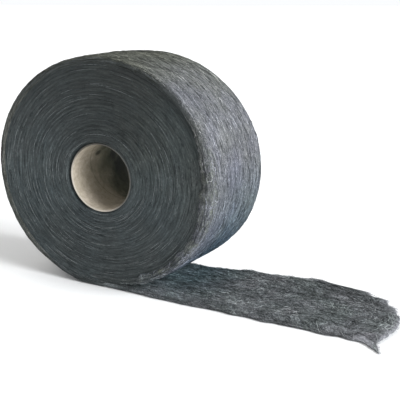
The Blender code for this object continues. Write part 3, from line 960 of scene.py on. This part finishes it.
# ------------------------------------------------------------------ build
scale = 1.0
side_mat = material_ribbon()
face_mat = material_face()
strand_side = material_strand("steel_wool_strands_side", [(0.0, (0.018, 0.021, 0.023)), (0.35, (0.090, 0.097, 0.104)),
                                                         (0.70, (0.270, 0.285, 0.303)), (1.0, (0.700, 0.730, 0.760))], 0.60, 0.28)
strand_tail = material_strand("steel_wool_strands_loose", [(0.0, (0.022, 0.024, 0.025)), (0.35, (0.096, 0.101, 0.104)),
                                                          (0.70, (0.262, 0.272, 0.278)), (1.0, (0.640, 0.655, 0.665))], 0.60, 0.28)
# rim strands take the darker end-face colour: partly end grain, partly painted shade
strand_rim = material_strand("steel_wool_strands_rim", [(0.0, (0.022, 0.026, 0.028)), (0.40, (0.062, 0.070, 0.071)),
                                                       (0.80, (0.130, 0.142, 0.142)), (1.0, (0.300, 0.320, 0.320))], 0.60, 0.25)
# the end faces' strands take the same darker copy of the wool: partly end grain, partly painted shade
strand_face = material_strand("steel_wool_strands_face", [(0.0, (0.020, 0.025, 0.027)), (0.40, (0.046, 0.057, 0.060)),
                                                         (0.80, (0.088, 0.103, 0.106)), (1.0, (0.240, 0.262, 0.265))], 0.58, 0.22, False)
# pale strands for the torn end: partly the thin fibres' own tone, partly painted light
strand_pale = material_strand("steel_wool_strands_pale", [(0.0, (0.110, 0.112, 0.124)), (0.35, (0.235, 0.238, 0.258)),
                                                         (0.70, (0.400, 0.402, 0.430)), (1.0, (0.760, 0.765, 0.800))], 0.60, 0.20, False)
build_ribbon(side_mat)
build_turns(face_mat)
build_tube(material_board())
roll_strands("roll_strands", int(5600 * scale), 101, strand_side, 0.00009, 0.00022)
tail_strands("loose_end_strands", int(4600 * scale), 102, strand_tail)
face_strands("near_face_strands", int(3300 * scale), 103, -1.0, strand_face)
face_strands("far_face_strands", int(1800 * scale), 104, 1.0, strand_face)
rim_strands("rim_strands", int(1500 * scale), 106, strand_rim, TAIL_LENGTH, TAIL_LENGTH + W_RUN[-1] * 0.94)
rim_strands("loose_edge_strands", int(800 * scale), 108, strand_tail, 0.034, TAIL_LENGTH - 0.03)
wisp_strands("wisp_strands", int(520 * scale), 109, strand_pale)
curled_strands("curled_strands", int(2300 * scale), 107, strand_tail)
edge_fuzz("roll_edge_strands", 105, strand_tail, int(600 * scale), 0, 0)
edge_fuzz("torn_edge_strands", 110, strand_pale, 0, int(450 * scale), int(600 * scale))

# ------------------------------------------------------------------ floor, light and camera
floor_me = bpy.data.meshes.new("floor")
floor_me.from_pydata([(-60, -60, 0), (60, -60, 0), (60, 60, 0), (-60, 60, 0)], [], [(0, 1, 2, 3)])
floor_ob = bpy.data.objects.new("floor", floor_me)
bpy.context.scene.collection.objects.link(floor_ob)
fm = bpy.data.materials.new("floor_white")
fm.use_nodes = True
fm.node_tree.nodes["Principled BSDF"].inputs["Base Color"].default_value = (0.86, 0.86, 0.86, 1)
fm.node_tree.nodes["Principled BSDF"].inputs["Roughness"].default_value = 0.9
fm.node_tree.nodes["Principled BSDF"].inputs["Specular IOR Level"].default_value = 0.1
floor_me.materials.append(fm)

world = bpy.data.worlds.new("studio")
bpy.context.scene.world = world
world.use_nodes = True
world.node_tree.nodes["Background"].inputs[0].default_value = (0.97, 0.985, 1.0, 1)
_w = world.node_tree
_sky = _w.nodes.new("ShaderNodeSeparateXYZ")
_w.links.new(_w.nodes.new("ShaderNodeTexCoord").outputs["Generated"], _sky.inputs[0])
_band = _w.nodes.new("ShaderNodeMapRange")
for _k, _v in (("From Min", 0.12), ("From Max", 0.34), ("To Min", 1.0), ("To Max", 0.45)):
    _band.inputs[_k].default_value = _v
_w.links.new(_sky.outputs[2], _band.inputs["Value"])
_w.links.new(_band.outputs[0], _w.nodes["Background"].inputs[1])
bpy.context.scene.view_settings.view_transform = "Standard"


def sun(name, azimuth, elevation, spread, strength, colour):
    """A soft distant light from azimuth (0 is +X, 90 is +Y) and elevation, in degrees."""
    light = bpy.data.lights.new(name, "SUN")
    light.angle = math.radians(spread)
    light.energy = strength
    light.color = colour
    ob = bpy.data.objects.new(name, light)
    a, e = math.radians(azimuth), math.radians(elevation)
    away = Vector((math.cos(a) * math.cos(e), math.sin(a) * math.cos(e), math.sin(e)))
    ob.rotation_euler = away.to_track_quat("Z", "Y").to_euler()
    ob.location = away * 2
    bpy.context.scene.collection.objects.link(ob)
    return ob


sun("key_right", -4, 27, 34, 5.2, (0.96, 0.98, 1.0))
sun("fill_left", 178, 52, 60, 1.1, (1.0, 0.985, 0.955))

PITCH, YAW = math.radians(14.0), math.radians(-30.0)
forward = Vector((math.sin(YAW) * math.cos(PITCH), math.cos(YAW) * math.cos(PITCH), -math.sin(PITCH)))
camera = bpy.data.cameras.new("photo_view")
camera.sensor_width = 36.0
camera.lens = 71.1
camera.clip_end = 200
eye = bpy.data.objects.new("photo_view", camera)
eye.location = (0.4522, -0.6411, 0.273)
eye.rotation_euler = forward.to_track_quat("-Z", "Y").to_euler()
bpy.context.scene.collection.objects.link(eye)
bpy.context.scene.camera = eye
